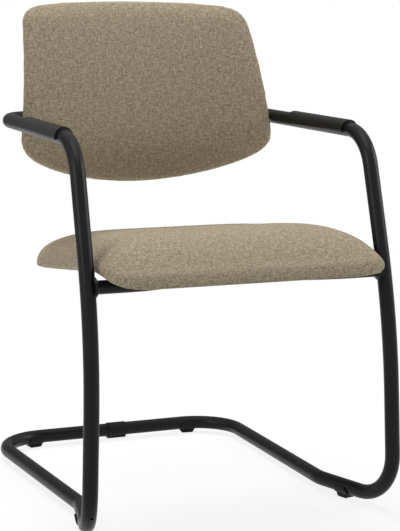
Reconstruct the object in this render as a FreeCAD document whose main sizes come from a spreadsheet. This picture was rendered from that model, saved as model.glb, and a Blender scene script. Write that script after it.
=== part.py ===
import FreeCAD, Part
import math
import os

# A visitor chair on a sled base: one loop of round steel tube makes the floor rails, the
# uprights and the arms, a welded inner tube carries the seat, and two brackets carry the back.
# Millimetres, +Z up, origin on the floor below the middle of the chair, sitter facing -Y.
# Left and right are the sitter's own: the sitter's left is +X.

SIZES = {
    # Frame tube: overall sizes over the outside of the tube, then each corner from its neighbour
    "frame_width": 561.0,
    "frame_depth": 673.5,
    "frame_shift": 14.85,
    "arm_height": 638.5,
    "tube_diameter": 25.0,
    "tube_wall": 2.0,
    "knee_inset": 9.0,
    "knee_setback": 5.5,
    "knee_height": 328.0,
    "arm_front_inset": 12.5,
    "arm_front_setback": 93.5,
    "arm_front_drop": 8.5,
    "arm_rear_inset": 21.0,
    "arm_rear_ahead": 114.5,
    "kink_inset": 47.0,
    "kink_setback": 182.0,
    "rail_rear_inset": 32.5,
    "rail_rear_bend": 87.0,
    "kink_bend": 70.0,
    "foot_bend": 80.0,
    "knee_bend": 950.0,
    "arm_front_bend": 77.0,
    "arm_rear_bend": 70.0,
    "vent_diameter": 5.0,
    "vent_height": 47.0,
    # Joints in the loop
    "floor_joint_offset": 12.0,
    "seam_width": 1.6,
    "seam_depth": 0.5,
    "sleeve_length": 80.0,
    "sleeve_wall": 1.5,
    "sleeve_clearance": 0.15,
    "clip_length": 36.0,
    "clip_gap": 3.0,
    "clip_wall": 1.5,
    "clip_foot_width": 16.0,
    "clip_foot_drop": 3.5,
    "clip_foot_corner": 3.0,
    "clip_clearance": 0.1,
    # Glides
    "glide_height": 6.0,
    "glide_wall": 2.5,
    "glide_top_length": 33.0,
    "glide_sole_length": 22.0,
    "glide_sole_width": 17.0,
    "glide_corner": 4.0,
    "glide_wrap": 2.0,
    "glide_rear_inset": 110.0,
    "glide_front_run": 69.5,
    "peg_diameter": 6.0,
    "peg_length": 6.0,
    "peg_root": 1.0,
    "peg_clearance": 0.1,
    # Arm pads
    "pad_length": 214.0,
    "pad_wall": 3.3,
    "pad_rise": 0.7,
    "pad_clearance": 0.2,
    "pad_front_wrap": 4.0,
    "pad_rear_lift": 3.5,
    "pad_rear_bevel": 9.0,
    "pad_front_gap": 2.0,
    "pad_peg_inset": 35.0,
    # Seat support
    "support_diameter": 22.0,
    "support_wall": 2.0,
    "support_half_span": 100.0,
    "support_front_bend": 100.0,
    "support_rear": 170.0,
    "support_rear_bend": 60.0,
    "weld_size": 5.0,
    "spacer_height": 9.5,
    "spacer_diameter": 20.0,
    "seat_bolt_front": 60.0,
    "seat_bolt_rear": 95.0,
    # Seat
    "seat_tilt": 6.5,
    "seat_setback": 211.0,
    "seat_height": 410.0,
    "seat_side_gap": 6.0,
    "seat_taper": 0.01,
    "seat_front": 257.0,
    "seat_rear": 238.0,
    "seat_edge_height": 12.8,
    "seat_crown": 46.0,
    "seat_wrap": 3.5,
    "seat_top_droop_start": 90.0,
    "seat_top_droop_radius": 235.0,
    "seat_edge_droop_start": 100.0,
    "seat_edge_droop_radius": 400.0,
    "seat_lip_droop_start": 131.0,
    "seat_lip_droop_radius": 250.0,
    "seat_board_thickness": 10.0,
    "seat_board_inset": 20.0,
    "seat_board_front": 150.0,
    "seat_board_corner": 60.0,
    "under_cover_thickness": 3.0,
    "under_cover_inset": 12.0,
    "under_cover_corner": 45.0,
    # Back
    "back_rise": 44.5,
    "back_ahead": 28.0,
    "back_half_height": 164.0,
    "back_side_inset": 15.5,
    "back_taper": 0.112,
    "back_top_crown": 10.0,
    "back_bottom_crown": 58.0,
    "back_lean": 0.186,
    "back_lean_radius": 455.0,
    "back_plan_radius": 480.0,
    "back_front_depth": 25.0,
    "back_rear_depth": 18.3,
    "back_board_thickness": 10.0,
    "back_board_inset": 22.0,
    "back_panel_thickness": 6.0,
    # Back brackets
    "bracket_half_span": 110.0,
    "bracket_width": 40.0,
    "bracket_height": 60.0,
    "bracket_corner": 8.0,
    "bracket_plate": 4.0,
    "bracket_sink": 1.0,
    "bracket_web_width": 26.0,
    "bracket_web_height": 16.0,
    "bracket_screw_rise": 21.0,
    # Fasteners and fits
    "bolt_diameter": 6.0,
    "bolt_head_diameter": 11.0,
    "bolt_head_height": 3.5,
    "bolt_socket": 4.0,
    "bolt_socket_depth": 2.1,
    "bolt_end_gap": 1.0,
    "bolt_hole": 6.6,
    "nut_flange_diameter": 18.0,
    "nut_flange": 1.5,
    "nut_barrel_diameter": 8.0,
    "nut_barrel": 8.0,
    "fit_clearance": 0.3,
}

doc = FreeCAD.newDocument("sled_base_visitor_chair")
sheet = doc.addObject("Spreadsheet::Sheet", "sizes")
SUBPARTS = []


def write_sizes():
    for row, (alias, value) in enumerate(SIZES.items(), start=1):
        sheet.set("A%d" % row, alias)
        sheet.set("B%d" % row, str(value))
        sheet.setAlias("B%d" % row, alias)
    doc.recompute()


def size(alias):
    return float(sheet.get(alias))


def vec(x, y, z):
    return FreeCAD.Vector(x, y, z)


def mirrored(point):
    return vec(-point.x, point.y, point.z)


write_sizes()
TUBE_RADIUS = size("tube_diameter") / 2
RAIL_HEIGHT = TUBE_RADIUS + size("glide_height")
FOOT_HALF_SPAN = size("frame_width") / 2 - TUBE_RADIUS
FOOT_FORWARD = size("frame_depth") / 2 - TUBE_RADIUS - size("frame_shift")
RAIL_REAR = size("frame_depth") / 2 - TUBE_RADIUS + size("frame_shift")
RAIL_REAR_HALF_SPAN = FOOT_HALF_SPAN - size("rail_rear_inset")
ARM_REAR_HALF_SPAN = FOOT_HALF_SPAN - size("arm_rear_inset")
ARM_REAR = RAIL_REAR - size("arm_rear_ahead")
FLAT = FreeCAD.Rotation()
OVERRUN = 5.0


def add(kind, name, **properties):
    """A document object; a text value is an expression on the sheet, any other is set."""
    item = doc.addObject(kind, name)
    for key, value in properties.items():
        if isinstance(value, str):
            item.setExpression(key, value)
        else:
            setattr(item, key, value)
    return item


def fuse(name, pieces):
    return add("Part::MultiFuse", name, Shapes=pieces)


def cut(name, base, tools):
    """One cut after another, the last of them under the given name."""
    for i, tool in enumerate(tools[:-1]):
        base = add("Part::Cut", "%s_%d" % (name, i), Base=base, Tool=tool)
    return add("Part::Cut", name, Base=base, Tool=tools[-1])


def solid(name, shape):
    item = doc.addObject("Part::Feature", name)
    item.Shape = shape
    return item


def group(name, members):
    """Identical pieces that share one node as separate solids."""
    return add("Part::Compound", name, Links=members)


def subpart(item, label):
    item.Label = label
    SUBPARTS.append(item)
    return item


def facing(direction, at):
    """The placement that turns a piece's own +Z to a direction and moves it to a point."""
    return FreeCAD.Placement(at, FreeCAD.Rotation(vec(0, 0, 1), direction))


def cylinder(name, radius, height, placement):
    return add("Part::Cylinder", name, Radius=radius, Height=height, Placement=placement)


# Bent tubes: straight runs joined by tangent arcs, swept with a circle and bored out.

def bend(before, corner, after, radius):
    """Start, middle and end of the arc that rounds one corner of a path."""
    back = (before - corner).normalize()
    on = (after - corner).normalize()
    half = back.getAngle(on) / 2
    reach = radius / math.tan(half)
    axis = (back + on).normalize()
    middle = corner + axis * (radius / math.sin(half) - radius)
    return corner + back * reach, middle, corner + on * reach


def bent_path(corners, radii):
    edges = []
    here = corners[0]
    for i, radius in enumerate(radii):
        start, middle, end = bend(corners[i], corners[i + 1], corners[i + 2], radius)
        edges.append(Part.LineSegment(here, start).toShape())
        edges.append(Part.Arc(start, middle, end).toShape())
        here = end
    edges.append(Part.LineSegment(here, corners[-1]).toShape())
    return Part.Wire(edges)


def swept_rod(name, path, first, second, radius):
    circle = add("Part::Circle", name + "_section", Radius=radius)
    circle.Placement = facing(second - first, first)
    spine = (path, ["Edge%d" % (i + 1) for i in range(len(path.Shape.Edges))])
    return add("Part::Sweep", name, Sections=[circle], Spine=spine, Solid=True, Frenet=False)


def bent_tube(name, corners, radii, outer, wall):
    """The bored tube and the plain rod of its outside, which cuts what meets it."""
    path = solid(name + "_path", bent_path(corners, radii))
    rod = swept_rod(name + "_rod", path, corners[0], corners[1], outer + " / 2")
    bore = swept_rod(name + "_bore", path, corners[0], corners[1], outer + " / 2 - " + wall)
    return path, rod, cut(name + "_tube", rod, [bore])


# The loop: floor bar, rail, foot, upright, arm and the bar behind the back, for one side.

def loop_corners(side):
    """Corners of the centre line, from the joint on the floor to the joint behind the back."""
    def corner(inset, y, z):
        return vec(side * (FOOT_HALF_SPAN - size(inset)), y, z)
    return [
        vec(-size("floor_joint_offset"), RAIL_REAR, RAIL_HEIGHT),
        corner("rail_rear_inset", RAIL_REAR, RAIL_HEIGHT),
        corner("kink_inset", size("kink_setback") - FOOT_FORWARD, RAIL_HEIGHT),
        vec(side * FOOT_HALF_SPAN, -FOOT_FORWARD, RAIL_HEIGHT),
        corner("knee_inset", size("knee_setback") - FOOT_FORWARD, size("knee_height")),
        corner("arm_front_inset", size("arm_front_setback") - FOOT_FORWARD,
               size("arm_height") - size("arm_front_drop")),
        corner("arm_rear_inset", ARM_REAR, size("arm_height")),
        vec(0, ARM_REAR, size("arm_height")),
    ]


VENT_SIDE = -1
LOOP_RADII = [size(alias) for alias in (
    "rail_rear_bend", "kink_bend", "foot_bend", "knee_bend", "arm_front_bend", "arm_rear_bend")]


def front_glide_place(side):
    """On the floor rail, part of the way from the kink to the foot, turned along the rail."""
    corners = loop_corners(side)
    along = (corners[3] - corners[2]).normalize()
    return corners[2] + along * size("glide_front_run"), along


def rear_glide_place(path):
    """On the bar behind, where it starts to bend into the floor rail."""
    half_span = FOOT_HALF_SPAN - size("glide_rear_inset")
    return crossing(path.Edges[0:2], lambda point: abs(point.x) - half_span)


def crossing(edges, over):
    """Where a centre line crosses a surface, found by halving, and its direction there."""
    for edge in edges:
        low, high = edge.FirstParameter, edge.LastParameter
        rising = over(edge.valueAt(high)) > 0
        if (over(edge.valueAt(low)) > 0) == rising:
            continue
        while high - low > 1e-9 * (edge.LastParameter - edge.FirstParameter):
            middle = (low + high) / 2
            if (over(edge.valueAt(middle)) > 0) == rising:
                high = middle
            else:
                low = middle
        return edge.valueAt(low), edge.tangentAt(low)
    raise ValueError("the centre line does not reach this place")


def upright_point(path, over):
    """Where an upright, from the foot's bend to the arm's, crosses a surface."""
    return crossing(path.Edges[5:9], over)[0]


def arm_pad_run(side):
    """Front end of the arm pad on the arm's axis and the direction to its rear end."""
    corners = loop_corners(side)
    end_of_bend = bend(corners[4], corners[5], corners[6], size("arm_front_bend"))[2]
    along = (corners[6] - corners[5]).normalize()
    return end_of_bend + along * size("pad_front_gap"), along


def pad_pegs():
    """Distances of the pad's two pegs from its front end."""
    inset = size("pad_peg_inset")
    return inset, size("pad_length") - inset


def arm_pad_turn(along):
    """Turns a piece built along +Y to lie along the arm."""
    return FreeCAD.Rotation(vec(0, 1, 0), along)


def seam_tool(name, at):
    """A shallow ring round the butted ends of two tubes."""
    width = size("seam_width")
    outer = cylinder(name + "_outer", "sizes.tube_diameter", "sizes.seam_width",
                     facing(vec(1, 0, 0), at - vec(width / 2, 0, 0)))
    core = cylinder(name + "_core", "sizes.tube_diameter / 2 - sizes.seam_depth", "sizes.seam_width",
                    facing(vec(1, 0, 0), at - vec(width / 2, 0, 0)))
    return cut(name, outer, [core])


def peg_hole(name, at, direction):
    """A drilled hole through one wall of the tube for a moulded peg."""
    return cylinder(name, "sizes.peg_diameter / 2", "sizes.tube_diameter", facing(direction, at))


def frame_half(side, label):
    corners = loop_corners(side)
    path, rod, tube = bent_tube(label, corners, LOOP_RADII, "sizes.tube_diameter", "sizes.tube_wall")
    tools = []
    for end, place in (("front", front_glide_place(side)), ("rear", rear_glide_place(path.Shape))):
        tools.append(peg_hole(label + "_glide_hole_" + end, place[0], vec(0, 0, -1)))
    start, along = arm_pad_run(side)
    upward = arm_pad_turn(along).multVec(vec(0, 0, 1))
    for i, distance in enumerate(pad_pegs()):
        tools.append(peg_hole(label + "_pad_hole_%d" % i, start + along * distance, upward))
    if side == VENT_SIDE:
        foot = upright_point(path.Shape, lambda point: point.z - size("vent_height"))
        tools.append(cylinder(label + "_vent", "sizes.vent_diameter / 2", "sizes.tube_diameter",
                              facing(vec(0, -1, 0), foot)))
    tools.append(seam_tool(label + "_floor_seam", corners[0]))
    return path, rod, subpart(cut(label + "_drilled", tube, tools), label)


def joint_sleeve(label, at):
    """Inner sleeve that both tube ends slide over."""
    start = at - vec(size("sleeve_length") / 2, 0, 0)
    outside = "sizes.tube_diameter / 2 - sizes.tube_wall - sizes.sleeve_clearance"
    outer = cylinder(label + "_outer", outside, "sizes.sleeve_length", facing(vec(1, 0, 0), start))
    inner = cylinder(label + "_inner", outside + " - sizes.sleeve_wall", "sizes.sleeve_length",
                     facing(vec(1, 0, 0), start))
    return subpart(cut(label + "_sleeve", outer, [inner]), label)


def floor_joint_clip():
    """Plastic ring with a small foot that closes the floor joint beside its seam."""
    start = vec(size("clip_gap") - size("floor_joint_offset"), RAIL_REAR, RAIL_HEIGHT)
    turned = facing(vec(1, 0, 0), start)
    ring = cylinder("clip_ring", "sizes.tube_diameter / 2 + sizes.clip_wall", "sizes.clip_length", turned)
    half = size("clip_foot_width") / 2
    drop = TUBE_RADIUS + size("clip_foot_drop")
    profile = bent_path([vec(0, 0, 0), vec(0, -half, 0), vec(0, -half, -drop), vec(0, half, -drop),
                         vec(0, half, 0), vec(0, 0, 0)], [size("clip_foot_corner")] * 4)
    foot = solid("clip_foot", Part.Face(profile).extrude(vec(size("clip_length"), 0, 0)))
    foot.Placement.Base = start
    bore = cylinder("clip_bore", "sizes.tube_diameter / 2 + sizes.clip_clearance",
                    "sizes.clip_length", turned)
    return subpart(cut("clip", fuse("clip_body", [ring, foot]), [bore]), "floor_joint_clip")


# Glides: moulded saddles under the rails, each held by a peg in the tube.

def glide(place, along, rod, label):
    along = vec(along.x, along.y, 0).normalize()
    turn = FreeCAD.Rotation(vec(1, 0, 0), along)
    length = size("glide_top_length")
    start = place - along * (length / 2)
    shell = cylinder(label + "_shell", "sizes.tube_diameter / 2 + sizes.glide_wall",
                     "sizes.glide_top_length", facing(along, start))
    sole = add("Part::Box", label + "_sole", Length="sizes.glide_top_length",
               Width="sizes.glide_sole_width", Height="sizes.tube_diameter / 2 + sizes.glide_height")
    sole.Placement = FreeCAD.Placement(
        place + turn.multVec(vec(-length / 2, -size("glide_sole_width") / 2, -RAIL_HEIGHT)), turn)
    flare = (length - size("glide_sole_length")) / 2
    reach = TUBE_RADIUS + size("glide_wall")
    top = size("glide_height") + TUBE_RADIUS + size("glide_wrap")
    waist = length / 2 - flare
    outline = bent_path([
        vec(0, 0, 0), vec(waist, 0, 0), vec(length / 2, 0, top / 2), vec(waist, 0, top),
        vec(-waist, 0, top), vec(-length / 2, 0, top / 2), vec(-waist, 0, 0), vec(0, 0, 0)],
        [size("glide_corner")] * 6)
    side_view = solid(label + "_side_view", Part.Face(outline).extrude(vec(0, 2 * reach, 0)))
    side_view.Placement = FreeCAD.Placement(place + turn.multVec(vec(0, -reach, -RAIL_HEIGHT)), turn)
    trimmed = add("Part::Common", label + "_trimmed",
                  Base=fuse(label + "_block", [shell, sole]), Tool=side_view)
    root = TUBE_RADIUS + size("peg_root")
    peg = cylinder(label + "_peg", "sizes.peg_diameter / 2 - sizes.peg_clearance", "sizes.peg_length",
                   facing(vec(0, 0, 1), place - vec(0, 0, root)))
    return subpart(fuse(label + "_body", [cut(label + "_cradle", trimmed, [rod]), peg]), label)


# Arm pads: shells over the top of each arm, cut square in front and bevelled behind.

def arm_pad(side, label):
    start, along = arm_pad_run(side)
    length = size("pad_length")
    reach = TUBE_RADIUS + size("pad_wall") + size("pad_rise") + OVERRUN
    inside = TUBE_RADIUS + size("pad_clearance")
    shell = cylinder(label + "_shell", "sizes.tube_diameter / 2 + sizes.pad_wall", "sizes.pad_length",
                     facing(vec(0, 1, 0), vec(0, 0, size("pad_rise"))))
    bore = cylinder(label + "_bore", "sizes.tube_diameter / 2 + sizes.pad_clearance",
                    "sizes.pad_length + %g" % (2 * OVERRUN), facing(vec(0, 1, 0), vec(0, -OVERRUN, 0)))
    slope = (size("pad_rear_lift") + size("pad_front_wrap")) / length
    ends = [(y, slope * y - size("pad_front_wrap")) for y in (-2 * OVERRUN, length + 2 * OVERRUN)]
    under = Part.makePolygon([
        vec(-reach, ends[0][0], -reach), vec(-reach, ends[1][0], -reach),
        vec(-reach, *ends[1]), vec(-reach, *ends[0]), vec(-reach, ends[0][0], -reach)])
    below = solid(label + "_below", Part.Face(under).extrude(vec(2 * reach, 0, 0)))
    bevel = size("pad_rear_bevel")
    behind = Part.makePolygon([
        vec(-reach, length, 0), vec(-reach, length - bevel, reach), vec(-reach, length + OVERRUN, reach),
        vec(-reach, length + OVERRUN, 0), vec(-reach, length, 0)])
    tail = solid(label + "_tail", Part.Face(behind).extrude(vec(2 * reach, 0, 0)))
    shaped = cut(label + "_tail_cut", cut(label + "_shaped", shell, [below]), [bore, tail])
    pegs = []
    for i, distance in enumerate(pad_pegs()):
        foot = vec(0, distance, inside + size("peg_root") - size("peg_length"))
        pegs.append(cylinder(label + "_peg_%d" % i, "sizes.peg_diameter / 2 - sizes.peg_clearance",
                             "sizes.peg_length", facing(vec(0, 0, 1), foot)))
    whole = fuse(label + "_whole", [shaped] + pegs)
    whole.Placement = FreeCAD.Placement(start, arm_pad_turn(along))
    return subpart(whole, label)


# The seat is built level on its own datum, the middle of its underside, then tilted back.

SEAT_PLACE = FreeCAD.Placement(
    vec(0, size("seat_setback") - FOOT_FORWARD, size("seat_height")),
    FreeCAD.Rotation(vec(1, 0, 0), -size("seat_tilt")))
SEAT_HALF_WIDTH = FOOT_HALF_SPAN - size("knee_inset") - TUBE_RADIUS - size("seat_side_gap")
SUPPORT_LEVEL = -(size("under_cover_thickness") + size("spacer_height") + size("support_diameter") / 2)
SEAT_BOLTS = [(side * size("support_half_span"), y)
              for side in (-1, 1) for y in (-size("seat_bolt_front"), size("seat_bolt_rear"))]


def seat_space(x, y, z):
    return SEAT_PLACE.multVec(vec(x, y, z))


def support_corners(upright):
    """Path of the inner tube from one upright, back under the seat and out to the other."""
    start = SEAT_PLACE.inverse().multVec(upright)
    leg = size("support_half_span")
    rear = size("support_rear")
    return [seat_space(x, y, SUPPORT_LEVEL) for x, y in (
        (start.x, start.y), (leg, start.y), (leg, rear), (-leg, rear), (-leg, start.y), (-start.x, start.y))]


def seat_support(left_path, rods):
    upright = upright_point(
        left_path.Shape, lambda point: SEAT_PLACE.inverse().multVec(point).z - SUPPORT_LEVEL)
    corners = support_corners(upright)
    front, rear = size("support_front_bend"), size("support_rear_bend")
    path, rod, tube = bent_tube("support", corners, [front, rear, rear, front],
                                "sizes.support_diameter", "sizes.support_wall")
    holes = []
    for i, (x, y) in enumerate(SEAT_BOLTS):
        hole = cylinder("support_hole_%d" % i, "sizes.bolt_hole / 2", "sizes.support_diameter",
                        SEAT_PLACE.multiply(FreeCAD.Placement(
                            vec(x, y, SUPPORT_LEVEL - size("support_diameter") / 2), FLAT)))
        holes.append(hole)
    coped = cut("support_coped", tube, rods + holes)
    subpart(coped, "seat_support_tube")
    return rod, corners


def weld_beads(rods, support_rod, corners):
    """Concave fillet welds where the inner tube meets the uprights."""
    beads = []
    weld = size("weld_size")
    radius = size("support_diameter") / 2
    for name, side in (("left", 1), ("right", -1)):
        start = corners[0] if side == 1 else corners[-1]
        root = start - vec(side * TUBE_RADIUS, 0, 0)
        inner = vec(radius - weld / 2, 0, -weld)
        foot = vec(radius + weld, 0, -weld)
        heel = vec(radius + weld, 0, 0)
        tip = vec(radius, 0, weld)
        back = vec(radius - weld / 2, 0, weld)
        hollow = vec(radius + weld * (1 - math.sqrt(0.5)), 0, weld * (1 - math.sqrt(0.5)))
        outline = Part.Wire([
            Part.LineSegment(inner, foot).toShape(), Part.LineSegment(foot, heel).toShape(),
            Part.Arc(heel, hollow, tip).toShape(), Part.LineSegment(tip, back).toShape(),
            Part.LineSegment(back, inner).toShape()])
        ring = solid("weld_ring_" + name, Part.Face(outline).revolve(vec(0, 0, 0), vec(0, 0, 1), 360))
        ring.Placement = facing(vec(-side, 0, 0), root)
        beads.append(cut("weld_" + name, ring, rods + [support_rod]))
    return subpart(group("weld_beads", beads), "support_welds")


def seat_spacers(support_rod):
    """Plastic saddles between the inner tube and the seat's underside, one at each bolt."""
    pieces = []
    for i, (x, y) in enumerate(SEAT_BOLTS):
        base = vec(x, y, SUPPORT_LEVEL)
        place = SEAT_PLACE.multiply(FreeCAD.Placement(base, FLAT))
        body = cylinder("spacer_body_%d" % i, "sizes.spacer_diameter / 2",
                        "sizes.spacer_height + sizes.support_diameter / 2", place)
        hole = cylinder("spacer_hole_%d" % i, "sizes.bolt_hole / 2",
                        "sizes.spacer_height + sizes.support_diameter / 2", place)
        pieces.append(cut("spacer_%d" % i, body, [support_rod, hole]))
    return subpart(group("spacers", pieces), "seat_spacers")


def bolt(name, placement, grip):
    """A button-head bolt with its head below the datum and its shank along +Z."""
    head = cylinder(name + "_head", "sizes.bolt_head_diameter / 2", "sizes.bolt_head_height",
                    FreeCAD.Placement(vec(0, 0, -size("bolt_head_height")), FLAT))
    shank = cylinder(name + "_shank", "sizes.bolt_diameter / 2", grip, FreeCAD.Placement())
    socket = add("Part::Prism", name + "_socket", Polygon=6, Circumradius="sizes.bolt_socket / sqrt(3)",
                 Height="sizes.bolt_socket_depth")
    socket.Placement.Base = vec(0, 0, -size("bolt_head_height"))
    item = cut(name, fuse(name + "_solid", [head, shank]), [socket])
    item.Placement = placement
    return item


def tee_nut(name, placement):
    """A tee nut whose barrel hangs below its flange, with the flange's top at the datum."""
    flange = cylinder(name + "_flange", "sizes.nut_flange_diameter / 2", "sizes.nut_flange",
                      FreeCAD.Placement(vec(0, 0, -size("nut_flange")), FLAT))
    depth = size("nut_barrel")
    barrel = cylinder(name + "_barrel", "sizes.nut_barrel_diameter / 2", "sizes.nut_barrel",
                      FreeCAD.Placement(vec(0, 0, -depth), FLAT))
    bore = cylinder(name + "_bore", "sizes.bolt_diameter / 2", "sizes.nut_barrel",
                    FreeCAD.Placement(vec(0, 0, -depth), FLAT))
    item = cut(name, fuse(name + "_solid", [flange, barrel]), [bore])
    item.Placement = placement
    return item


def nut_seat(name, placement):
    """The stepped hole for a tee nut, with room above it to clear the flange."""
    deep = max(size("seat_board_thickness"), size("back_board_thickness")) + OVERRUN
    through = cylinder(name + "_through", "sizes.nut_barrel_diameter / 2 + sizes.fit_clearance", deep,
                       FreeCAD.Placement(vec(0, 0, -deep), FLAT))
    recess = cylinder(name + "_recess", "sizes.nut_flange_diameter / 2 + sizes.fit_clearance",
                      "sizes.nut_flange * 2", FreeCAD.Placement(vec(0, 0, -size("nut_flange")), FLAT))
    item = fuse(name, [through, recess])
    item.Placement = placement
    return item


# Cushions: cross sections from one side to the other, lofted. A section is a ring of arcs
# through points of the pad's own curve, which runs out to an edge line all round.

STATIONS = (0.995, 0.97, 0.92, 0.83, 0.66, 0.36)
RING_ARCS = 12


def both_sides(stations):
    return [-s for s in stations] + [0.0] + [s for s in reversed(stations)]


def curved_edge(first, middle, last):
    """An arc through three points, or a line where they lie in one."""
    if middle.distanceToLine(first, last - first) < 0.001:
        return Part.LineSegment(first, last).toShape()
    return Part.Arc(first, middle, last).toShape()


def arc_ring(points):
    edges = []
    count = len(points)
    for i in range(0, count, 2):
        edges.append(curved_edge(points[i], points[i + 1], points[(i + 2) % count]))
    return Part.Wire(edges)


def roundness(across, along, power):
    """How far out a point lies: 0 in the middle, 1 on the outline."""
    return min(1.0, (abs(across) ** power + abs(along) ** power) ** (1 / power))


def swell(distance, power, root):
    """Height of a pad's face over its edge line, as a share of its full height."""
    return (1 - distance ** power) ** (1 / root)


def cushion(surface):
    """Loft of rings; surface(across, turn) gives the point of a section at a turn in radians."""
    rings = []
    steps = 2 * RING_ARCS
    for across in both_sides(STATIONS):
        rings.append(arc_ring([surface(across, 2 * math.pi * (i + 0.5) / steps) for i in range(steps)]))
    return Part.makeLoft(rings, True, False)


SEAT_FRONT_POWER = 11.0
SEAT_REAR_POWER = 5.8
SEAT_TOP_SHAPE = (5.8, 1.65)
SEAT_LIP_SHAPE = (18.0, 4.4)


def droop(ahead, start, radius):
    """How far a curve that bends down ahead of its start has fallen."""
    run = min(max(0.0, ahead - start), radius * 0.99)
    return radius - math.sqrt(radius * radius - run * run)


def seat_surface(across, turn):
    power = SEAT_REAR_POWER if math.cos(turn) > 0 else SEAT_FRONT_POWER
    middle = (size("seat_rear") - size("seat_front")) / 2
    half = (size("seat_rear") + size("seat_front")) / 2
    along = math.cos(turn) * (1 - abs(across) ** power) ** (1 / power)
    y = middle + half * along
    distance = roundness(across, along, power)
    edge = size("seat_edge_height") - droop(-y, size("seat_edge_droop_start"), size("seat_edge_droop_radius"))
    if math.sin(turn) > 0:
        top = size("seat_edge_height") + size("seat_crown") - droop(
            -y, size("seat_top_droop_start"), size("seat_top_droop_radius"))
        z = edge + (top - edge) * swell(distance, *SEAT_TOP_SHAPE)
    else:
        lip = -size("seat_wrap") - droop(-y, size("seat_lip_droop_start"), size("seat_lip_droop_radius"))
        z = edge + (lip - edge) * swell(distance, *SEAT_LIP_SHAPE)
    x = across * (SEAT_HALF_WIDTH - size("seat_taper") * (y - middle))
    return vec(x, y, z)


def rounded_plate(front, rear, half_width, taper, corner, low, high):
    """A flat plate, a little narrower behind, with round corners in plan."""
    ends = [vec(-half_width - taper * (front + rear) / 2, -front, low),
            vec(half_width + taper * (front + rear) / 2, -front, low),
            vec(half_width - taper * (front + rear) / 2, rear, low),
            vec(-half_width + taper * (front + rear) / 2, rear, low)]
    start = (ends[0] + ends[1]) / 2
    outline = bent_path([start] + [ends[1], ends[2], ends[3], ends[0]] + [start], [corner] * 4)
    return Part.Face(outline).extrude(vec(0, 0, high - low))


def seat_plate(inset, corner, low, high, grow=0.0):
    return rounded_plate(size("seat_board_front") - inset + grow, size("seat_rear") - size("seat_board_inset")
                         - inset + grow, SEAT_HALF_WIDTH - size("seat_board_inset") - inset + grow,
                         size("seat_taper"), corner + grow, low, high)


def seat_parts():
    gap = size("fit_clearance")
    thick = size("seat_board_thickness")
    pad = solid("seat_pad", cushion(seat_surface))
    room = solid("seat_board_room", seat_plate(0, size("seat_board_corner"), -thick, thick + gap, gap))
    seat_cushion = cut("seat_foam", pad, [room])
    seat_cushion.Placement = SEAT_PLACE
    subpart(seat_cushion, "seat_cushion")

    blank = solid("seat_board_blank", seat_plate(0, size("seat_board_corner"), 0, thick))
    seats = [nut_seat("seat_nut_seat_%d" % i, FreeCAD.Placement(vec(x, y, thick), FLAT))
             for i, (x, y) in enumerate(SEAT_BOLTS)]
    board = cut("seat_board_cut", blank, seats)
    board.Placement = SEAT_PLACE
    subpart(board, "seat_board")

    cover_blank = solid("under_cover_blank", seat_plate(
        size("under_cover_inset"), size("under_cover_corner"), -size("under_cover_thickness"), 0))
    holes = [cylinder("under_cover_hole_%d" % i, "sizes.nut_barrel_diameter / 2 + sizes.fit_clearance",
                      "sizes.under_cover_thickness",
                      FreeCAD.Placement(vec(x, y, -size("under_cover_thickness")), FLAT))
             for i, (x, y) in enumerate(SEAT_BOLTS)]
    cover = cut("under_cover_cut", cover_blank, holes)
    cover.Placement = SEAT_PLACE
    subpart(cover, "seat_under_cover")

    head = SUPPORT_LEVEL - size("support_diameter") / 2
    bolts = [bolt("seat_bolt_%d" % i, SEAT_PLACE.multiply(FreeCAD.Placement(vec(x, y, head), FLAT)),
                  "sizes.support_diameter + sizes.spacer_height + sizes.under_cover_thickness"
                  " + sizes.seat_board_thickness - sizes.bolt_end_gap")
             for i, (x, y) in enumerate(SEAT_BOLTS)]
    subpart(group("seat_bolt_set", bolts), "seat_bolts")
    nuts = [tee_nut("seat_nut_%d" % i, SEAT_PLACE.multiply(FreeCAD.Placement(vec(x, y, thick), FLAT)))
            for i, (x, y) in enumerate(SEAT_BOLTS)]
    subpart(group("seat_nut_set", nuts), "seat_tee_nuts")


# The back: a shield outline on a middle surface that is hollow across and arched upwards.

BACK_TOP_POWER = 12.5
BACK_BOTTOM_POWER = 9.2
BACK_FRONT_SHAPE = (6.1, 2.05)
BACK_REAR_SHAPE = (9.2, 2.05)
BACK_MIDDLE = size("arm_height") + size("back_rise")
BACK_HALF_WIDTH = ARM_REAR_HALF_SPAN - size("back_side_inset")


def back_middle(x, z):
    """The back's middle surface: y over width and height."""
    rise = z - BACK_MIDDLE
    plan = size("back_plan_radius")
    hollow = plan - math.sqrt(plan * plan - x * x)
    return (ARM_REAR - size("back_ahead") + size("back_lean") * rise
            + rise * rise / (2 * size("back_lean_radius")) - hollow)


def back_half(across, up):
    """Half height of the back at a station, above or below its middle."""
    crown = size("back_top_crown") if up else size("back_bottom_crown")
    power = BACK_TOP_POWER if up else BACK_BOTTOM_POWER
    return size("back_half_height") - crown * across * across, power


def back_x(across, z):
    return across * (BACK_HALF_WIDTH - size("back_taper") * (z - BACK_MIDDLE))


def back_surface(across, turn):
    up = math.cos(turn) > 0
    half, power = back_half(across, up)
    along = math.cos(turn) * (1 - abs(across) ** power) ** (1 / power)
    z = BACK_MIDDLE + half * along
    x = back_x(across, z)
    distance = roundness(across, along, power)
    if math.sin(turn) > 0:
        depth = -size("back_front_depth") * swell(distance, *BACK_FRONT_SHAPE)
    else:
        depth = size("back_rear_depth") * swell(distance, *BACK_REAR_SHAPE)
    return vec(x, back_middle(x, z) + depth, z)


def back_slab(near, far, inset):
    """A bent sheet inside the back, between two depths in front of its rear face."""
    return Part.makeLoft([slab_ring(across, near, far, inset) for across in both_sides(STATIONS)], True, False)


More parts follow.
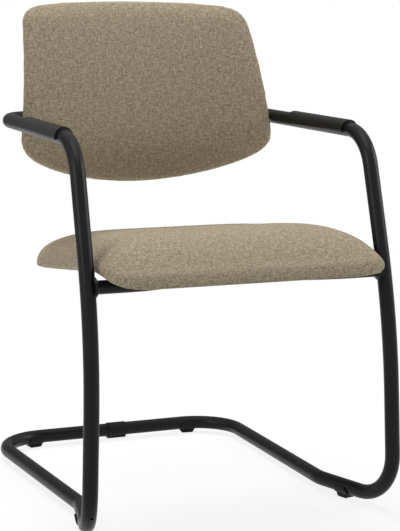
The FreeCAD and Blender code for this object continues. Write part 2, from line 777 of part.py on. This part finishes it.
def slab_end(across, up, inset):
    """Top or bottom of the sheet at a station, parallel to the pad's own outline."""
    scale = 1 - inset / BACK_HALF_WIDTH
    half, power = back_half(across * scale, up)
    reach = (half - inset) * (1 - abs(across) ** power) ** (1 / power)
    return BACK_MIDDLE + (reach if up else -reach)


def slab_ring(across, near, far, inset):
    low = slab_end(across, False, inset)
    high = slab_end(across, True, inset)
    scale = 1 - inset / BACK_HALF_WIDTH
    rear = size("back_rear_depth")
    front_points, rear_points = [], []
    for z in (low, (low + high) / 2, high):
        x = back_x(across * scale, z)
        front_points.append(vec(x, back_middle(x, z) + rear - far, z))
        rear_points.append(vec(x, back_middle(x, z) + rear - near, z))
    return Part.Wire([
        Part.Arc(*front_points).toShape(),
        Part.LineSegment(front_points[2], rear_points[2]).toShape(),
        Part.Arc(*reversed(rear_points)).toShape(),
        Part.LineSegment(rear_points[0], front_points[0]).toShape()])


def back_rear_point(x, z):
    return vec(x, back_middle(x, z) + size("back_rear_depth"), z)


def back_normal(x, z):
    """Outward direction of the rear face."""
    step = 0.5
    wide = back_rear_point(x + step, z) - back_rear_point(x - step, z)
    tall = back_rear_point(x, z + step) - back_rear_point(x, z - step)
    return tall.cross(wide).normalize()


def back_inside(point, normal, depth):
    """The point below a place on the rear face, at a depth that is measured along Y."""
    return point - normal * (depth * normal.y)


def bracket_screw_places():
    places = []
    for side in (-1, 1):
        x = side * size("bracket_half_span")
        for rise in (-1, 1):
            z = size("arm_height") + rise * size("bracket_screw_rise")
            places.append((back_rear_point(x, z), back_normal(x, z)))
    return places


def rounded_prism(name, centre, half_wide, half_tall, corner):
    """A prism along Y through the whole depth, with a rounded rectangle as its section."""
    ends = [centre + vec(x * half_wide, 0, z * half_tall) for x, z in ((1, -1), (1, 1), (-1, 1), (-1, -1))]
    start = (ends[0] + ends[3]) / 2
    outline = bent_path([start] + ends + [start], [corner] * 4)
    return solid(name, Part.Face(outline).extrude(vec(0, size("frame_depth"), 0)))


def back_bracket(side, label, rods, panel):
    """A pressed plate that follows the rear face, with a web that is notched for the tube."""
    half_wide = size("bracket_width") / 2
    half_tall = size("bracket_height") / 2
    centre_x = side * size("bracket_half_span")
    centre_z = size("arm_height")
    plate_depth = size("bracket_plate")
    rings = []
    for shift in (-1, 0, 1):
        x = centre_x + shift * (half_wide + OVERRUN)
        face = [back_rear_point(x, centre_z + rise * (half_tall + OVERRUN)) for rise in (-1, 0, 1)]
        near = [point - vec(0, size("bracket_sink"), 0) for point in face]
        far = [point + vec(0, plate_depth, 0) for point in face]
        rings.append(Part.Wire([
            Part.Arc(*near).toShape(), Part.LineSegment(near[2], far[2]).toShape(),
            Part.Arc(*reversed(far)).toShape(), Part.LineSegment(far[0], near[0]).toShape()]))
    blank = solid(label + "_blank", Part.makeLoft(rings, True, False))
    plate = add("Part::Common", label + "_plate", Base=blank, Tool=rounded_prism(
        label + "_outline", vec(centre_x, 0, centre_z), half_wide, half_tall, size("bracket_corner")))
    start = back_rear_point(centre_x, centre_z).y + plate_depth / 2
    web = add("Part::Box", label + "_web", Length="sizes.bracket_web_width",
              Width=ARM_REAR - start, Height="sizes.bracket_web_height")
    web.Placement.Base = vec(centre_x - size("bracket_web_width") / 2, start,
                             centre_z - size("bracket_web_height") / 2)
    holes = []
    for i, (point, normal) in enumerate(bracket_screw_places()):
        if point.x * side > 0:
            holes.append(cylinder(label + "_hole_%d" % i, "sizes.bolt_hole / 2", plate_depth * 4,
                                  facing(normal, point - normal * plate_depth)))
    body = fuse(label + "_body", [plate, web])
    return subpart(cut(label + "_cut", body, rods + holes + [panel]), label)


def back_parts():
    gap = size("fit_clearance")
    panel = size("back_panel_thickness")
    board = size("back_board_thickness")
    inset = size("back_board_inset")
    pad = solid("back_pad", cushion(back_surface))
    room = solid("back_room", back_slab(-size("back_rear_depth"), panel + board + gap, inset - gap))
    subpart(cut("back_foam", pad, [room]), "back_cushion")

    blank = solid("back_board_blank", back_slab(panel, panel + board, inset))
    seats, nuts, screws = [], [], []
    for i, (point, normal) in enumerate(bracket_screw_places()):
        flush = facing(normal * -1, back_inside(point, normal, panel + board - gap))
        seats.append(nut_seat("back_nut_seat_%d" % i, flush))
        nuts.append(tee_nut("back_nut_%d" % i, flush))
        head = back_inside(point, normal, -size("bracket_plate"))
        screws.append(bolt("back_screw_%d" % i, facing(normal * -1, head),
                           "(sizes.bracket_plate + sizes.back_panel_thickness"
                           " + sizes.back_board_thickness) * %g - sizes.bolt_end_gap" % normal.y))
    subpart(cut("back_board_cut", blank, seats), "back_board")
    holes = [cylinder("back_panel_hole_%d" % i, "sizes.nut_barrel_diameter / 2 + sizes.fit_clearance",
                      4 * panel, facing(normal, point - normal * 2 * panel))
             for i, (point, normal) in enumerate(bracket_screw_places())]
    cover = solid("back_panel_blank", back_slab(0, panel, inset))
    drilled = subpart(cut("back_panel_cut", cover, holes), "back_rear_panel")
    subpart(group("back_nut_set", nuts), "back_tee_nuts")
    subpart(group("back_screw_set", screws), "back_screws")
    return drilled


left_path, left_rod, left_frame = frame_half(1, "frame_tube_left")
right_path, right_rod, right_frame = frame_half(-1, "frame_tube_right")
frame_rods = [left_rod, right_rod]
joint_sleeve("floor_joint_sleeve", loop_corners(1)[0])
joint_sleeve("back_joint_sleeve", loop_corners(1)[-1])
floor_joint_clip()
for side, word, path, rod in ((1, "left", left_path, left_rod), (-1, "right", right_path, right_rod)):
    glide(*front_glide_place(side), rod, "front_glide_" + word)
    glide(*rear_glide_place(path.Shape), rod, "rear_glide_" + word)
    arm_pad(side, "arm_pad_" + word)
support_rod, support_path = seat_support(left_path, frame_rods)
weld_beads(frame_rods, support_rod, support_path)
seat_spacers(support_rod)
seat_parts()
rear_panel = back_parts()
for side, word in ((1, "left"), (-1, "right")):
    back_bracket(side, "back_bracket_" + word, frame_rods, rear_panel)
doc.recompute()

for item in doc.Objects:
    if "Invalid" in item.State or "Error" in item.State:
        raise RuntimeError("%s did not build" % item.Name)
for item in SUBPARTS:
    if item.Shape.isNull() or not item.Shape.isValid() or not item.Shape.Solids:
        raise RuntimeError("%s has no valid solid" % item.Label)
os.makedirs("parts", exist_ok=True)
for item in SUBPARTS:
    item.Shape.exportStep("parts/%s.step" % item.Label)
    print("%-22s %d solid(s) %10.1f mm3" % (item.Label, len(item.Shape.Solids), item.Shape.Volume))
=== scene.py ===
import math

import bmesh
import bpy
import numpy as np
from mathutils import Matrix, Vector


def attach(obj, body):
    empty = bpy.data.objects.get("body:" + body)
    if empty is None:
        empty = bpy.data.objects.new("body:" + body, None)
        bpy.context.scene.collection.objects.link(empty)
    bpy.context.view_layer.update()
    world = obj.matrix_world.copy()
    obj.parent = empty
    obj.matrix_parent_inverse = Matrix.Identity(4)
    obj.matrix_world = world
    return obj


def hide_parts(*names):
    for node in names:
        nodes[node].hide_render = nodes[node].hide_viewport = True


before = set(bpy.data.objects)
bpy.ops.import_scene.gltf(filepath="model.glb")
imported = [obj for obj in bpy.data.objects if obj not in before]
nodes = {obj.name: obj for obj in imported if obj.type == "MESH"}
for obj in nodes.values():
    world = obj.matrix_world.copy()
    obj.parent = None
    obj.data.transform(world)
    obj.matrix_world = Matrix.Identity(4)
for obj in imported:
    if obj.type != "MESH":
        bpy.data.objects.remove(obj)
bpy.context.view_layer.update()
bpy.ops.object.select_all(action="DESELECT")


# The frame: a loop of round steel tube in two bent halves, the inner tube that carries the
# seat and the two pressed brackets behind the back. Steel, bent and welded, then sprayed with
# a satin black powder coat, which keeps a fine orange peel and rubs a little paler in use.

def node_group(name, inputs, outputs):
    """An empty shader group with named sockets, and its input and output nodes."""
    group = bpy.data.node_groups.new(name, "ShaderNodeTree")
    for label, kind, default in inputs:
        socket = group.interface.new_socket(name=label, in_out="INPUT", socket_type=kind)
        if default is not None:
            socket.default_value = default
    for label, kind in outputs:
        group.interface.new_socket(name=label, in_out="OUTPUT", socket_type=kind)
    return group, group.nodes.new("NodeGroupInput"), group.nodes.new("NodeGroupOutput")


def wired(tree, kind, links=None, **values):
    """A node with its settings made and its sockets linked or set, by name or by place."""
    node = tree.nodes.new(kind)
    for key, value in values.items():
        setattr(node, key, value)
    for name, source in (links or {}).items():
        socket = node.inputs[name]
        if isinstance(source, bpy.types.NodeSocket):
            tree.links.new(source, socket)
        else:
            socket.default_value = source
    return node


def sprayed_coat_group():
    """Shallow waves and smudges of a sprayed coat, as a colour, a roughness and a height."""
    smudge_gloss = 0.16
    group, given, result = node_group(
        "sprayed_coat",
        [("Vector", "NodeSocketVector", None),
         ("Colour", "NodeSocketColor", (0.02, 0.02, 0.02, 1)),
         ("Worn Colour", "NodeSocketColor", (0.05, 0.05, 0.05, 1)),
         ("Roughness", "NodeSocketFloat", 0.4),
         ("Grain", "NodeSocketFloat", 700.0)],
        [("Colour", "NodeSocketColor"), ("Roughness", "NodeSocketFloat"), ("Height", "NodeSocketFloat")])
    peel = wired(group, "ShaderNodeTexNoise",
                 {"Vector": given.outputs["Vector"], "Scale": given.outputs["Grain"],
                  "Detail": 2.0, "Roughness": 0.5})
    smudge = wired(group, "ShaderNodeTexNoise",
                   {"Vector": given.outputs["Vector"], "Scale": 9.0, "Detail": 4.0})
    worn = wired(group, "ShaderNodeMapRange",
                 {"Value": smudge.outputs["Fac"], "From Min": 0.42, "From Max": 0.75,
                  "To Min": 0.0, "To Max": 0.35})
    tone = wired(group, "ShaderNodeMix",
                 {"Factor": worn.outputs["Result"], "A": given.outputs["Colour"],
                  "B": given.outputs["Worn Colour"]}, data_type="RGBA")
    shine = wired(group, "ShaderNodeMath",
                  {0: smudge.outputs["Fac"], 1: smudge_gloss, 2: given.outputs["Roughness"]},
                  operation="MULTIPLY_ADD")
    lowered = wired(group, "ShaderNodeMath", {0: shine.outputs[0], 1: smudge_gloss / 2},
                    operation="SUBTRACT")
    group.links.new(tone.outputs["Result"], result.inputs["Colour"])
    group.links.new(lowered.outputs[0], result.inputs["Roughness"])
    group.links.new(peel.outputs["Fac"], result.inputs["Height"])
    return group


sprayed_coat = sprayed_coat_group()


def coated(name, colour, worn, roughness, specular, grain, relief):
    """A material with the sprayed coat's colour, roughness and relief, laid out on the object."""
    material = bpy.data.materials.new(name)
    material.use_nodes = True
    tree = material.node_tree
    shader = tree.nodes["Principled BSDF"]
    shader.inputs["Specular IOR Level"].default_value = specular
    place = tree.nodes.new("ShaderNodeTexCoord")
    skin = wired(tree, "ShaderNodeGroup",
                 {"Vector": place.outputs["Object"], "Colour": (*colour, 1), "Worn Colour": (*worn, 1),
                  "Roughness": roughness, "Grain": grain}, node_tree=sprayed_coat)
    bump = wired(tree, "ShaderNodeBump",
                 {"Strength": 0.5, "Distance": relief, "Height": skin.outputs["Height"]})
    tree.links.new(skin.outputs["Colour"], shader.inputs["Base Color"])
    tree.links.new(skin.outputs["Roughness"], shader.inputs["Roughness"])
    tree.links.new(bump.outputs["Normal"], shader.inputs["Normal"])
    return material


def paint(names, material):
    """Gives the CAD nodes of these names one material."""
    for name in names:
        nodes[name].data.materials.clear()
        nodes[name].data.materials.append(material)


powder_coat = coated("satin_black_powder_coat", colour=(0.0045, 0.0050, 0.0056),
                     worn=(0.008, 0.008, 0.009), roughness=0.34, specular=0.18,
                     grain=900.0, relief=0.00006)
paint(["frame_tube_left", "frame_tube_right", "seat_support_tube", "support_welds",
       "back_bracket_left", "back_bracket_right"], powder_coat)


# Arm pads: black moulded covers pressed over the tops of the arms, smooth and a little
# glossier than the tube, with a soft sheen along the top.

arm_skin = coated("moulded_arm_cover", colour=(0.0050, 0.0055, 0.0060),
                  worn=(0.010, 0.010, 0.011), roughness=0.34, specular=0.26,
                  grain=1500.0, relief=0.00004)
paint(["arm_pad_left", "arm_pad_right"], arm_skin)


# Glides, floor clip, saddles under the seat, under cover and rear panel: black moulded
# polypropylene with a fine spark-eroded grain, clipped or screwed in place.

moulded_black = coated("grained_black_plastic", colour=(0.0050, 0.0050, 0.0055),
                       worn=(0.009, 0.009, 0.010), roughness=0.50, specular=0.16,
                       grain=2200.0, relief=0.00008)
paint(["floor_joint_clip", "front_glide_left", "front_glide_right", "rear_glide_left", "rear_glide_right",
       "seat_spacers", "seat_under_cover", "back_rear_panel"], moulded_black)


# Fasteners and joint sleeves: bright zinc-plated steel, a little blotched by the plating
# bath. The screws and bolts are driven from outside, and the sleeves are pushed into the tube.

zinc = coated("zinc_plated_steel", colour=(0.42, 0.43, 0.45), worn=(0.55, 0.55, 0.54),
              roughness=0.36, specular=0.5, grain=1800.0, relief=0.00004)
zinc.node_tree.nodes["Principled BSDF"].inputs["Metallic"].default_value = 1.0
paint(["seat_bolts", "seat_tee_nuts", "back_screws", "back_tee_nuts", "floor_joint_sleeve",
       "back_joint_sleeve"], zinc)


# Boards inside the seat and the back: pressed beech plywood, hidden by foam and covers,
# with its grain running from side to side.

def plywood_material():
    material = bpy.data.materials.new("pressed_plywood")
    material.use_nodes = True
    tree = material.node_tree
    place = tree.nodes.new("ShaderNodeTexCoord")
    along = wired(tree, "ShaderNodeMapping",
                  {"Vector": place.outputs["Object"], "Scale": (3.0, 60.0, 60.0)})
    grain = wired(tree, "ShaderNodeTexNoise",
                  {"Vector": along.outputs["Vector"], "Scale": 4.0, "Detail": 5.0})
    tone = wired(tree, "ShaderNodeValToRGB", {"Fac": grain.outputs["Fac"]})
    dark_grain, pale_grain = tone.color_ramp.elements
    dark_grain.position = 0.35
    dark_grain.color = (0.30, 0.19, 0.10, 1)
    pale_grain.position = 0.7
    pale_grain.color = (0.52, 0.37, 0.22, 1)
    shader = tree.nodes["Principled BSDF"]
    shader.inputs["Roughness"].default_value = 0.7
    tree.links.new(tone.outputs["Color"], shader.inputs["Base Color"])
    return material


paint(["seat_board", "back_board"], plywood_material())


# Seat pad: a beige and brown melange wool cloth in plain weave, stretched over moulded foam
# and stapled under the board. Blown up a little as cloth, so that the cover is taut over the
# crown and draws in towards the edges, and smoothed where its top rolls over the sides.

def woven_cloth_group():
    """Plain weave of uneven yarns: two yarn directions, each with its own slubs and shades."""
    yarn_stretch = 0.11
    heather_share = 0.45
    slub_height = 1.2
    group, given, result = node_group(
        "plain_weave",
        [("Vector", "NodeSocketVector", None),
         ("Pitch", "NodeSocketFloat", 0.0013),
         ("Dark Yarn", "NodeSocketColor", (0.1, 0.08, 0.06, 1)),
         ("Mid Yarn", "NodeSocketColor", (0.3, 0.25, 0.2, 1)),
         ("Pale Yarn", "NodeSocketColor", (0.5, 0.45, 0.35, 1))],
        [("Colour", "NodeSocketColor"), ("Height", "NodeSocketFloat")])
    count = wired(group, "ShaderNodeMath", {0: math.pi, 1: given.outputs["Pitch"]}, operation="DIVIDE")
    split = wired(group, "ShaderNodeSeparateXYZ", {0: given.outputs["Vector"]})
    waves = []
    for axis in ("X", "Y"):
        angle = wired(group, "ShaderNodeMath", {0: split.outputs[axis], 1: count.outputs[0]},
                      operation="MULTIPLY")
        waves.append(wired(group, "ShaderNodeMath", {0: angle.outputs[0]}, operation="SINE"))
    over = wired(group, "ShaderNodeMath", {0: waves[0].outputs[0], 1: waves[1].outputs[0]},
                 operation="MULTIPLY")
    yarns = []
    for across, along, shift in ((1.0, yarn_stretch, 17.0), (yarn_stretch, 1.0, 61.0)):
        stretched = wired(group, "ShaderNodeMapping",
                          {"Vector": given.outputs["Vector"], "Scale": (across, along, 1.0),
                           "Location": (shift, shift, 0)})
        yarns.append(wired(group, "ShaderNodeTexNoise",
                           {"Vector": stretched.outputs["Vector"], "Scale": 620.0, "Detail": 3.0,
                            "Roughness": 0.62}))
    front = wired(group, "ShaderNodeMath", {0: over.outputs[0], 1: 0.0}, operation="GREATER_THAN")
    shade = wired(group, "ShaderNodeMix",
                  {"Factor": front.outputs[0], "A": yarns[0].outputs["Fac"], "B": yarns[1].outputs["Fac"]},
                  data_type="FLOAT")
    heather = wired(group, "ShaderNodeTexNoise",
                    {"Vector": given.outputs["Vector"], "Scale": 230.0, "Detail": 4.0, "Roughness": 0.7})
    mixed = wired(group, "ShaderNodeMix",
                  {"Factor": heather_share, "A": shade.outputs["Result"], "B": heather.outputs["Fac"]},
                  data_type="FLOAT")
    ramp = wired(group, "ShaderNodeMapRange",
                 {"Value": mixed.outputs["Result"], "From Min": 0.36, "From Max": 0.64})
    lower = wired(group, "ShaderNodeMapRange",
                  {"Value": ramp.outputs["Result"], "From Min": 0.0, "From Max": 0.5})
    upper = wired(group, "ShaderNodeMapRange",
                  {"Value": ramp.outputs["Result"], "From Min": 0.5, "From Max": 1.0})
    dark = wired(group, "ShaderNodeMix",
                 {"Factor": lower.outputs["Result"], "A": given.outputs["Dark Yarn"],
                  "B": given.outputs["Mid Yarn"]}, data_type="RGBA")
    pale = wired(group, "ShaderNodeMix",
                 {"Factor": upper.outputs["Result"], "A": dark.outputs["Result"],
                  "B": given.outputs["Pale Yarn"]}, data_type="RGBA")
    bulge = wired(group, "ShaderNodeMath", {0: over.outputs[0]}, operation="ABSOLUTE")
    height = wired(group, "ShaderNodeMath",
                   {0: mixed.outputs["Result"], 1: slub_height, 2: bulge.outputs[0]},
                   operation="MULTIPLY_ADD")
    group.links.new(pale.outputs["Result"], result.inputs["Colour"])
    group.links.new(height.outputs[0], result.inputs["Height"])
    return group


def melange_cloth():
    """The weave in its three yarn shades, with a matt, slightly hairy surface."""
    material = bpy.data.materials.new("melange_wool_cloth")
    material.use_nodes = True
    tree = material.node_tree
    shader = tree.nodes["Principled BSDF"]
    shader.inputs["Roughness"].default_value = 0.92
    shader.inputs["Specular IOR Level"].default_value = 0.18
    shader.inputs["Sheen Weight"].default_value = 0.08
    shader.inputs["Sheen Roughness"].default_value = 0.55
    shader.inputs["Sheen Tint"].default_value = (0.75, 0.70, 0.62, 1)
    place = tree.nodes.new("ShaderNodeTexCoord")
    weave = wired(tree, "ShaderNodeGroup",
                  {"Vector": place.outputs["UV"], "Dark Yarn": (0.160, 0.128, 0.085, 1),
                   "Mid Yarn": (0.394, 0.328, 0.226, 1), "Pale Yarn": (0.665, 0.580, 0.424, 1)},
                  node_tree=woven_cloth_group())
    bump = wired(tree, "ShaderNodeBump",
                 {"Strength": 0.6, "Distance": 0.0004, "Height": weave.outputs["Height"]})
    tree.links.new(weave.outputs["Colour"], shader.inputs["Base Color"])
    tree.links.new(bump.outputs["Normal"], shader.inputs["Normal"])
    return material


def take(piece):
    """Selects this piece alone and makes it the active one."""
    bpy.ops.object.select_all(action="DESELECT")
    piece.select_set(True)
    bpy.context.view_layer.objects.active = piece


def pad_copy(node, name, voxel):
    """The pad's solid as an even skin of small faces."""
    mesh = nodes[node].data.copy()
    piece = bpy.data.objects.new(name, mesh)
    bpy.context.scene.collection.objects.link(piece)
    take(piece)
    bpy.ops.object.mode_set(mode="EDIT")
    bpy.ops.mesh.select_all(action="SELECT")
    bpy.ops.mesh.remove_doubles(threshold=0.00001)
    bpy.ops.mesh.normals_make_consistent(inside=False)
    bpy.ops.object.mode_set(mode="OBJECT")
    mesh.remesh_voxel_size = voxel
    bpy.ops.object.voxel_remesh()
    return piece


def read_skin(piece, what):
    """The places ("co") or the normals ("normal") of the piece's points, one row each."""
    flat = np.zeros(len(piece.data.vertices) * 3)
    piece.data.vertices.foreach_get(what, flat)
    return flat.reshape(-1, 3)


def move_skin(piece, points):
    piece.data.vertices.foreach_set("co", points.ravel())
    piece.data.update()


def smooth_step(values, low, high):
    """0 below low, 1 above high, and a soft ramp between."""
    share = np.clip((values - low) / (high - low), 0, 1)
    return share * share * (3 - 2 * share)


def blow_up(piece, pressure, frames):
    """Runs the cover as cloth under pressure and returns where its points end up."""
    cloth = piece.modifiers.new("Cloth", "CLOTH")
    settings = cloth.settings
    settings.quality = 6
    settings.mass = 0.3
    settings.tension_stiffness = 25
    settings.compression_stiffness = 25
    settings.shear_stiffness = 10
    settings.bending_stiffness = 2
    settings.use_pressure = True
    settings.uniform_pressure_force = pressure
    settings.effector_weights.gravity = 0
    cloth.point_cache.frame_start = 1
    cloth.point_cache.frame_end = frames
    for moment in range(1, frames + 1):
        bpy.context.scene.frame_set(moment)
    shown = piece.evaluated_get(bpy.context.evaluated_depsgraph_get())
    blown = read_skin(shown, "co")
    piece.modifiers.remove(cloth)
    bpy.context.scene.frame_set(1)
    return blown


def settle(piece, free, drawn_in, cap, pressure=4.0, frames=20):
    """Draws the skin in, blows it up as cloth and moves no point inwards or further than the cap."""
    start = read_skin(piece, "co")
    outward = read_skin(piece, "normal")
    drawn = start - outward * (drawn_in * free)[:, None]
    move_skin(piece, drawn)
    blown = blow_up(piece, pressure, frames)
    step = (blown - drawn) * free[:, None]
    sunk = np.minimum(np.sum(step * outward, axis=1), 0)
    step -= outward * sunk[:, None]
    shortest = 1e-9
    length = np.maximum(np.linalg.norm(step, axis=1), shortest)
    step *= np.minimum(1.0, cap / length)[:, None]
    move_skin(piece, drawn + step)


def smooth_out(piece, passes, share=None):
    """Evens the skin, all over or as far as each point's share says."""
    relax = piece.modifiers.new("Relax", "SMOOTH")
    relax.factor = 0.5
    relax.iterations = passes
    if share is not None:
        group = piece.vertex_groups.new(name="soft")
        for index, weight in enumerate(share):
            group.add([index], float(weight), "REPLACE")
        relax.vertex_group = group.name
    take(piece)
    bpy.ops.object.modifier_apply(modifier="Relax")
    piece.vertex_groups.clear()


def to_real_size(mesh):
    """Scales the flat layout so that its unit is one metre of cloth."""
    layer = mesh.uv_layers.active.data
    real, flat = 0.0, 0.0
    for face in mesh.polygons:
        corners = [layer[i].uv for i in face.loop_indices]
        flat += abs(sum(a.x * b.y - b.x * a.y for a, b in zip(corners, corners[1:] + corners[:1]))) / 2
        real += face.area
    scale = math.sqrt(real / flat)
    for corner in layer:
        corner.uv *= scale


def finish_cover(piece, is_shown):
    """Marks where the cover is sewn or stapled, lays the cloth out flat and makes it finer."""
    smooth_out(piece, passes=4)
    mesh = piece.data
    shown = [is_shown(face.normal) for face in mesh.polygons]
    work = bmesh.new()
    work.from_mesh(mesh)
    for edge in work.edges:
        sides = [shown[face.index] for face in edge.link_faces]
        edge.seam = len(set(sides)) > 1
    work.to_mesh(mesh)
    work.free()
    bpy.ops.object.mode_set(mode="EDIT")
    bpy.ops.mesh.select_all(action="SELECT")
    bpy.ops.uv.unwrap(method="ANGLE_BASED", margin=0.01)
    bpy.ops.object.mode_set(mode="OBJECT")
    to_real_size(mesh)
    finer = piece.modifiers.new("Finer", "SUBSURF")
    finer.levels = finer.render_levels = 1
    bpy.ops.object.modifier_apply(modifier="Finer")
    bpy.ops.object.shade_smooth()


cloth_material = melange_cloth()

seat = pad_copy("seat_cushion", "seat_upholstery", voxel=0.0055)
seat_free = smooth_step(read_skin(seat, "normal")[:, 2], low=-0.35, high=0.05)
settle(seat, seat_free, drawn_in=0.0010, cap=0.0014)
top_and_roll = smooth_step(read_skin(seat, "normal")[:, 2], low=-0.1, high=0.35)
smooth_out(seat, passes=26, share=top_and_roll)
finish_cover(seat, lambda normal: normal.z > -0.5)
seat.data.materials.clear()
seat.data.materials.append(cloth_material)
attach(seat, "root")
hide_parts("seat_cushion")


# Back pad: the same cloth over thinner foam on a bent board, drawn round the edge and held
# by the rear panel. Its front is blown up as the seat is, and its rear stays on the board.

back = pad_copy("back_cushion", "back_upholstery", voxel=0.0050)
back_free = smooth_step(-read_skin(back, "normal")[:, 1], low=-0.25, high=0.15)
settle(back, back_free, drawn_in=0.0003, cap=0.0028)
finish_cover(back, lambda normal: normal.y < 0.3)
back.data.materials.clear()
back.data.materials.append(cloth_material)
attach(back, "root")
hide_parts("back_cushion")


# The studio: a pale floor that keeps the soft shadow below the chair and fades into a white
# surround, soft lights overhead, left, right and high behind, and a grey card behind the chair.
# The card shows only in reflections and the rear light in none, so the black tubes stay dark.

WHITE = (1, 1, 1, 1)


def studio_floor():
    bpy.ops.mesh.primitive_plane_add(size=12, location=(0, 0, 0))
    floor = bpy.context.object
    floor.name = "studio_floor"
    material = bpy.data.materials.new("pale_floor")
    material.use_nodes = True
    tree = material.node_tree
    tree.nodes.clear()
    place = tree.nodes.new("ShaderNodeTexCoord")
    reach = wired(tree, "ShaderNodeVectorMath", {0: place.outputs["Object"]}, operation="LENGTH")
    fade = wired(tree, "ShaderNodeMapRange",
                 {"Value": reach.outputs["Value"], "From Min": 0.7, "From Max": 1.8},
                 interpolation_type="SMOOTHSTEP")
    path = tree.nodes.new("ShaderNodeLightPath")
    seen = wired(tree, "ShaderNodeMath",
                 {0: path.outputs["Is Camera Ray"], 1: path.outputs["Is Glossy Ray"]},
                 operation="MAXIMUM")
    glow = wired(tree, "ShaderNodeEmission", {"Color": WHITE, "Strength": 1.0})
    matt = wired(tree, "ShaderNodeBsdfDiffuse", {"Color": (0.94, 0.94, 0.94, 1)})
    share = wired(tree, "ShaderNodeMapRange",
                  {"Value": fade.outputs["Result"], "To Min": 0.84, "To Max": 1.0})
    lit = wired(tree, "ShaderNodeMath", {0: share.outputs["Result"], 1: seen.outputs[0]},
                operation="MULTIPLY")
    mix = wired(tree, "ShaderNodeMixShader", {0: lit.outputs[0], 1: matt.outputs[0], 2: glow.outputs[0]})
    wired(tree, "ShaderNodeOutputMaterial", {"Surface": mix.outputs[0]})
    floor.data.materials.append(material)


def grey_card():
    """A grey card behind the chair, for reflections alone."""
    bpy.ops.mesh.primitive_plane_add(size=1, location=(1.0, 2.9, 1.65), rotation=(math.radians(90), 0, 0))
    card = bpy.context.object
    card.name = "grey_card"
    card.scale = (9.0, 3.2, 1.0)
    bpy.ops.object.transform_apply(location=True, rotation=True, scale=True)
    material = bpy.data.materials.new("grey_card")
    material.use_nodes = True
    tree = material.node_tree
    tree.nodes.clear()
    glow = wired(tree, "ShaderNodeEmission", {"Color": WHITE, "Strength": 0.30})
    wired(tree, "ShaderNodeOutputMaterial", {"Surface": glow.outputs[0]})
    card.data.materials.append(material)
    card.visible_camera = False
    card.visible_diffuse = False
    card.visible_shadow = False
    card.visible_transmission = False


def studio_world():
    """White where it is seen, mirrored or looked through, and a weak light everywhere else."""
    world = bpy.data.worlds.new("white_surround")
    bpy.context.scene.world = world
    world.use_nodes = True
    tree = world.node_tree
    tree.nodes.clear()
    path = tree.nodes.new("ShaderNodeLightPath")
    shown = wired(tree, "ShaderNodeMath",
                  {0: path.outputs["Is Camera Ray"], 1: path.outputs["Is Transmission Ray"]},
                  operation="MAXIMUM")
    mirrored = wired(tree, "ShaderNodeMath", {0: shown.outputs[0], 1: path.outputs["Is Glossy Ray"]},
                     operation="MAXIMUM")
    light = wired(tree, "ShaderNodeBackground", {"Color": WHITE, "Strength": 0.06})
    white = wired(tree, "ShaderNodeBackground", {"Color": WHITE, "Strength": 1.0})
    mix = wired(tree, "ShaderNodeMixShader",
                {0: mirrored.outputs[0], 1: light.outputs[0], 2: white.outputs[0]})
    wired(tree, "ShaderNodeOutputWorld", {"Surface": mix.outputs[0]})


def soft_light(name, place, size, power):
    """A round white lamp that shines on the middle of the chair."""
    chair_middle = Vector((0, 0, 0.45))
    bpy.ops.object.light_add(type="AREA", location=place)
    lamp = bpy.context.object
    lamp.name = name
    lamp.data.shape = "DISK"
    lamp.data.size = size
    lamp.data.energy = power
    lamp.rotation_euler = (chair_middle - Vector(place)).to_track_quat("-Z", "Y").to_euler()
    return lamp


studio_floor()
grey_card()
studio_world()
soft_light("overhead_light", (-0.2, -0.5, 2.9), size=2.2, power=27)
soft_light("left_light", (-2.8, -1.0, 1.8), size=1.6, power=25)
soft_light("right_light", (2.8, -1.0, 1.8), size=1.6, power=36)
rear_light = soft_light("rear_light", (0.0, 1.8, 2.4), size=1.6, power=72)
rear_light.visible_glossy = False


# The viewpoint of the photograph: a long lens a little above arm height, to the sitter's
# right of the chair's front. The focal length is in pixels of the photograph's frame.

CAMERA_PLACE = (-1.10166, -2.75105, 0.82877)
CAMERA_TURN = 22.64
CAMERA_DOWN = 8.43
CAMERA_ROLL = 0.14
FOCAL_PIXELS = 1715.94
FRAME_HEIGHT = 531

bpy.ops.object.camera_add(location=CAMERA_PLACE)
camera = bpy.context.object
camera.data.sensor_width = 36.0
camera.data.lens = FOCAL_PIXELS / FRAME_HEIGHT * camera.data.sensor_width
aim = (Matrix.Rotation(math.radians(-CAMERA_TURN), 4, "Z")
       @ Matrix.Rotation(math.radians(90 - CAMERA_DOWN), 4, "X")
       @ Matrix.Rotation(math.radians(CAMERA_ROLL), 4, "Z"))
camera.rotation_euler = aim.to_euler()
camera.data.clip_end = 50
bpy.context.scene.camera = camera
bpy.context.scene.view_settings.view_transform = "Standard"
